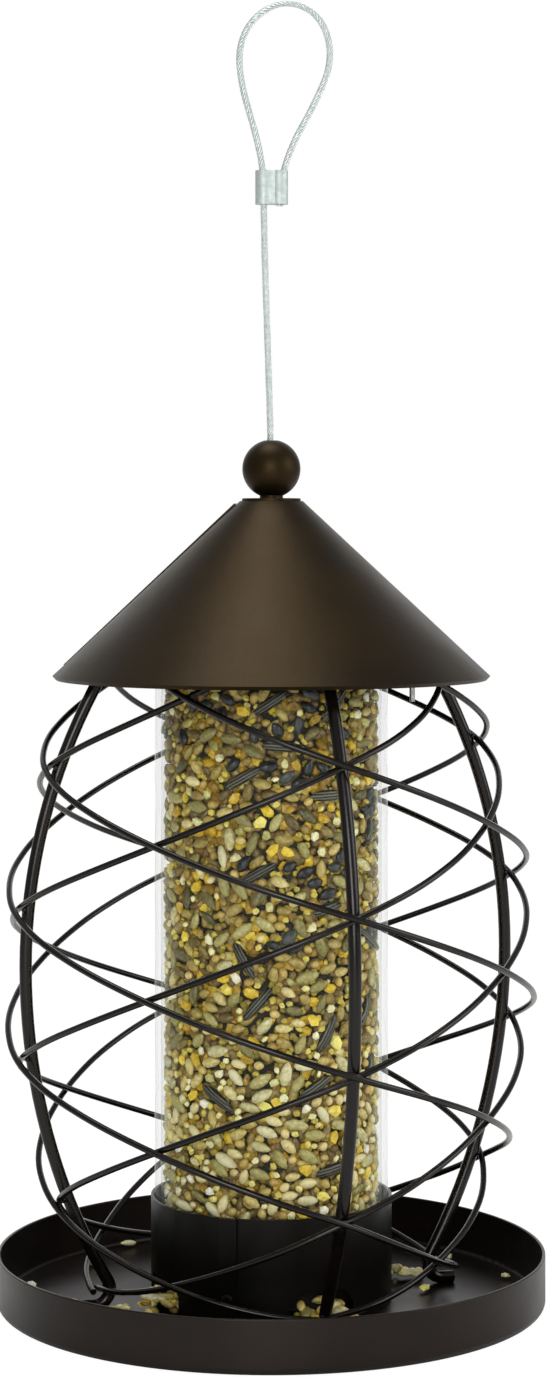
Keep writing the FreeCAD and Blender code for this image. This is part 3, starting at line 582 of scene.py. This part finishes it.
def makeSpiltSeed():
    rng = random.Random(spilt["seed"])
    names = [name for name in seedKinds if name != "blackSeed"]
    places = {name: [] for name in names}
    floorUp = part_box("tray_pan")[0][2] + spilt["traySheet"] * mm

    def lay(name, x, y, up):
        half = seedKinds[name]["half"]
        tipX = Matrix.Rotation(rng.gauss(0, 0.12), 4, "X")
        tipY = Matrix.Rotation(rng.gauss(0, 0.12), 4, "Y")
        spot = Vector((x, y, floorUp / mm + half[2] * 1.12 + 0.25 + up)) * mm
        lie = Matrix.Rotation(rng.uniform(0, 2 * math.pi), 4, "Z")
        matrix = Matrix.Translation(spot) @ lie @ (tipX @ tipY)
        addSeed(places, name, matrix, rng, spilt["palerTone"])

    for quarter in range(4):
        port = math.radians(spilt["ports"] + 90 * quarter)
        rib = port - math.radians(spilt["ribBehind"])
        for count in range(spilt["heapSeeds"]):
            share = rng.random() ** 1.2
            radius = spilt["heapFrom"] + spilt["heapReach"] * share
            half = spilt["heapHalf"]
            bearing = port + rng.uniform(-half, half) / radius * (1 + 0.25 * share)
            beside = abs(turnBetween(bearing, rib)) * radius
            if radius > spilt["ribFrom"] and beside < spilt["ribRoom"]:
                continue
            up = spilt["heapUp"] * (1 - share) * rng.random()
            x, y = radius * math.sin(bearing), -radius * math.cos(bearing)
            lay(rng.choice(names), x, y, up)
    for x, y in spilt["single"]:
        lay(rng.choice(("maizeChip", "creamChip", "sunflowerHeart")), x, y, 0)
    for name in names:
        chip = seedKinds[name]["chip"]
        joinSeeds("spilt" + name[0].upper() + name[1:] + "s", seedShapes[name],
                  places[name], seedMaterials[name], not chip)


def makeSeedCore():
    # the seed behind the wall's layers, seen only as shade between them
    low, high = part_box("seed_mix")
    core = bmesh.new()
    # radius and height from the middle of the foot to the middle of the top
    rings = [(0.0, low[2] + 12 * mm), (24 * mm, low[2] + 3 * mm), (30.5 * mm, low[2] + 2 * mm),
             (31.4 * mm, low[2] + 8 * mm), (31.4 * mm, high[2] - 8 * mm), (28 * mm, high[2] - 6 * mm),
             (0.0, high[2] - 4 * mm)]
    start = [core.verts.new((radius, 0, up)) for radius, up in rings]
    for first, second in zip(start, start[1:]):
        core.edges.new((first, second))
    bmesh.ops.spin(core, geom=core.verts[:] + core.edges[:], axis=(0, 0, 1), cent=(0, 0, 0),
                   angle=2 * math.pi, steps=64, use_merge=True)
    bmesh.ops.remove_doubles(core, verts=core.verts[:], dist=0.01 * mm)
    bmesh.ops.recalc_face_normals(core, faces=core.faces[:])
    mesh = bpy.data.meshes.new("seedCore")
    core.to_mesh(mesh)
    core.free()
    shades = ["#1C150A", "#2E220E", "#423216", "#574220"]
    mesh.materials.append(makeSeedMaterial("seedShade", shades, 0.8))
    piece = bpy.data.objects.new("seedCore", mesh)
    bpy.context.collection.objects.link(piece)
    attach(piece, "feeder_body")
    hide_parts("seed_mix")


makeSeedFill()
makeSpiltSeed()
makeSeedCore()
print("seed")

# the ribs' line, as two arcs that are upright at the cage's widest, and the welds on it, in mm
cage = {
    "wide": 82.0,
    "middle": 112.0,
    "ring": (42.6, 226.1),
    "toe": (50.5, 3.0),
    "ribTurn": 18.0,  # degrees
    "ribRadius": 2.0,
    "beadApart": 0.9,
    # heights on each rib
    "welds": {0: (179.5, 134.5, 87.0, 41.0, 8.4), 1: (182.0, 137.0, 89.5, 43.5, 8.4),
              2: (179.5, 134.5, 87.0, 41.0, 8.4), 3: (176.0, 131.0, 83.5, 37.5, 8.4)},
}


def ribOut(height):
    across, up = cage["ring"] if height > cage["middle"] else cage["toe"]
    inset = cage["wide"] - across
    radius = (inset ** 2 + (up - cage["middle"]) ** 2) / (inset * 2)
    return cage["wide"] - radius + math.sqrt(radius ** 2 - (height - cage["middle"]) ** 2)


def makeWelds():
    rng = random.Random(41)
    beads = bmesh.new()
    for rib, heights in cage["welds"].items():
        bearing = math.radians(cage["ribTurn"] + 90 * rib)
        outward = Vector((math.sin(bearing), -math.cos(bearing), 0))
        around = Vector((math.cos(bearing), math.sin(bearing), 0))
        for height in heights:
            for side in (-1, 1):
                spot = outward * (ribOut(height) + cage["ribRadius"] * 0.9) * mm
                spot += around * side * cage["beadApart"] * mm
                spot.z = (height + rng.uniform(-0.5, 0.5)) * mm
                stand = Matrix((around, Vector((0, 0, 1)), outward)).transposed().to_4x4()
                size = [rng.uniform(0.75, 1.1) * mm for count in range(3)]
                squash = Matrix.Diagonal((size[0] * 1.3, size[1] * 1.2, size[2], 1))
                made = bmesh.ops.create_icosphere(beads, subdivisions=2, radius=1.0,
                                                  matrix=Matrix.Translation(spot) @ stand @ squash)
                for vertex in made["verts"]:
                    vertex.co += Vector([rng.uniform(-0.06, 0.06) * mm for count in range(3)])
    mesh = bpy.data.meshes.new("weldBeads")
    beads.to_mesh(mesh)
    beads.free()
    mesh.polygons.foreach_set("use_smooth", [True] * len(mesh.polygons))
    mesh.materials.append(cagePaint)
    piece = bpy.data.objects.new("weldBeads", mesh)
    bpy.context.collection.objects.link(piece)
    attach(piece, "feeder_body")


makeWelds()
print("welds")

# white paper just under the tray
floorSize = {"half": 30, "drop": 0.2 * mm}
floorShape = bmesh.new()
bmesh.ops.create_grid(floorShape, x_segments=1, y_segments=1, size=floorSize["half"])
floorMesh = bpy.data.meshes.new("floor")
bmesh.ops.translate(floorShape, verts=floorShape.verts[:], vec=(0, 0, -floorSize["drop"]))
floorShape.to_mesh(floorMesh)
floorShape.free()
floor = bpy.data.objects.new("floor", floorMesh)
bpy.context.collection.objects.link(floor)
floorPaint = newMaterial("mattWhitePaper")
paper = addNode(floorPaint, "ShaderNodeBsdfDiffuse", {"Color": toLinear("#F6F6F4")})
glow = addNode(floorPaint, "ShaderNodeEmission", {"Strength": 1.07})
looked = addNode(floorPaint, "ShaderNodeLightPath")
share = addNode(floorPaint, "ShaderNodeMath", {0: looked.outputs["Is Camera Ray"], 1: 0.9},
                operation="MULTIPLY")
floorMesh.materials.append(finishMaterial(floorPaint, addNode(floorPaint, "ShaderNodeMixShader", {
    0: share.outputs[0], 1: paper.outputs[0], 2: glow.outputs[0]})))

# the backdrop is plain white; the light it gives is set apart from how it looks
world = bpy.data.worlds.new("world")
bpy.context.scene.world = world
world.use_nodes = True
world.node_tree.nodes.clear()
seen = addNode(world, "ShaderNodeBackground", {"Color": (1, 1, 1, 1), "Strength": 1.0})
given = addNode(world, "ShaderNodeBackground", {"Color": (1, 1, 1, 1), "Strength": 0.36})
ray = addNode(world, "ShaderNodeLightPath")
both = addNode(world, "ShaderNodeMixShader", {0: ray.outputs["Is Camera Ray"], 1: given.outputs[0],
               2: seen.outputs[0]})
addNode(world, "ShaderNodeOutputWorld", {"Surface": both.outputs[0]})
bpy.context.scene.view_settings.view_transform = "Standard"

aim = Vector((0, 0, 0.18))
studioLights = [
    # name, place, size, watts
    ("softTop", (-0.12, 0.05, 1.5), 0.7, 10),
    ("softFront", (-0.12, -1.55, 0.5), 0.7, 11),
    ("softRight", (1.25, -0.35, 0.6), 0.8, 7),
    ("cardBehind", (0.0, 1.6, 0.4), 2.0, 10),
]
for name, place, size, watts in studioLights:
    light = bpy.data.lights.new(name, "AREA")
    light.size = size
    light.energy = watts
    lamp = bpy.data.objects.new(name, light)
    bpy.context.collection.objects.link(lamp)
    lamp.location = place
    lamp.visible_camera = False
    lamp.rotation_euler = (aim - Vector(place)).to_track_quat("-Z", "Y").to_euler()
print("light")
